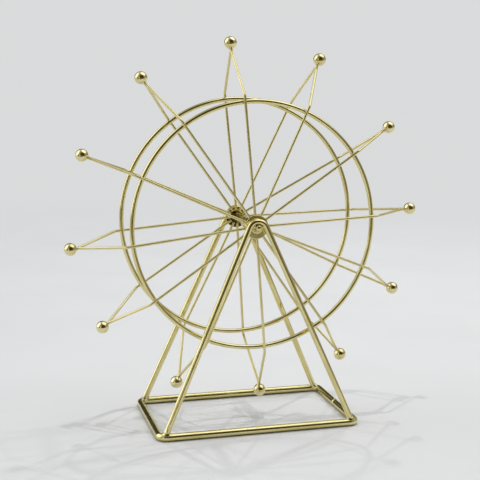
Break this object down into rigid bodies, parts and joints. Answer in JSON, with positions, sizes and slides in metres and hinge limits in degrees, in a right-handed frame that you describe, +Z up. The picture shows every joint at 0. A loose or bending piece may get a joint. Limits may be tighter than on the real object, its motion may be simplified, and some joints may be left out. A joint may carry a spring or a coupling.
{
  "type": "wire wheel ornament",
  "caption": "Table ornament: a wire wheel with ball-tipped arms that turns freely on an axle held by two wire A-frames on a rectangular wire base.",
  "frame": {"origin": "on the table, under the middle of the rectangular base", "axes": "+Z up; +Y along the wheel's axle, from the front of the ornament to its rear; +X to the right as seen from the front"},
  "size_m": [0.2474, 0.085, 0.2604],
  "materials": {
    "base_wire": "polished plating",
    "frame_wire": "polished plating",
    "axle_rod": "satin plating",
    "hub_metal": "satin plating",
    "ring_wire": "polished plating",
    "spoke_wire": "satin plating",
    "ball_metal": "polished plating",
    "weld_metal": "satin plating"
  },
  "bodies": {
    "stand": {"base_ring": "base_wire", "axle": "axle_rod", "front_a_frame": "frame_wire", "rear_a_frame": "frame_wire", "front_left_foot_weld": "weld_metal", "front_right_foot_weld": "weld_metal", "rear_left_foot_weld": "weld_metal", "rear_right_foot_weld": "weld_metal", "bend_welds": "weld_metal"},
    "wheel": {"hub_tube": "hub_metal", "front_hub_disc": "hub_metal", "rear_hub_disc": "hub_metal", "front_ring": "ring_wire", "rear_ring": "ring_wire", "front_spoke_01": "spoke_wire", "front_spoke_02": "spoke_wire", "front_spoke_03": "spoke_wire", "front_spoke_04": "spoke_wire", "front_spoke_05": "spoke_wire", "front_spoke_06": "spoke_wire", "front_spoke_07": "spoke_wire", "front_spoke_08": "spoke_wire", "front_spoke_09": "spoke_wire", "front_spoke_10": "spoke_wire", "front_spoke_11": "spoke_wire", "front_spoke_12": "spoke_wire", "rear_spoke_01": "spoke_wire", "rear_spoke_02": "spoke_wire", "rear_spoke_03": "spoke_wire", "rear_spoke_04": "spoke_wire", "rear_spoke_05": "spoke_wire", "rear_spoke_06": "spoke_wire", "rear_spoke_07": "spoke_wire", "rear_spoke_08": "spoke_wire", "rear_spoke_09": "spoke_wire", "rear_spoke_10": "spoke_wire", "rear_spoke_11": "spoke_wire", "rear_spoke_12": "spoke_wire", "ball_01": "ball_metal", "ball_02": "ball_metal", "ball_03": "ball_metal", "ball_04": "ball_metal", "ball_05": "ball_metal", "ball_06": "ball_metal", "ball_07": "ball_metal", "ball_08": "ball_metal", "ball_09": "ball_metal", "ball_10": "ball_metal", "ball_11": "ball_metal", "ball_12": "ball_metal", "ball_necks": "weld_metal"}
  },
  "joints": [
    {"name": "wheel_spin", "type": "hinge", "parent": "stand", "child": "wheel", "pos_m": [0, 0, 0.13675], "axis": [0, 1, 0], "continuous": true}
  ]
}
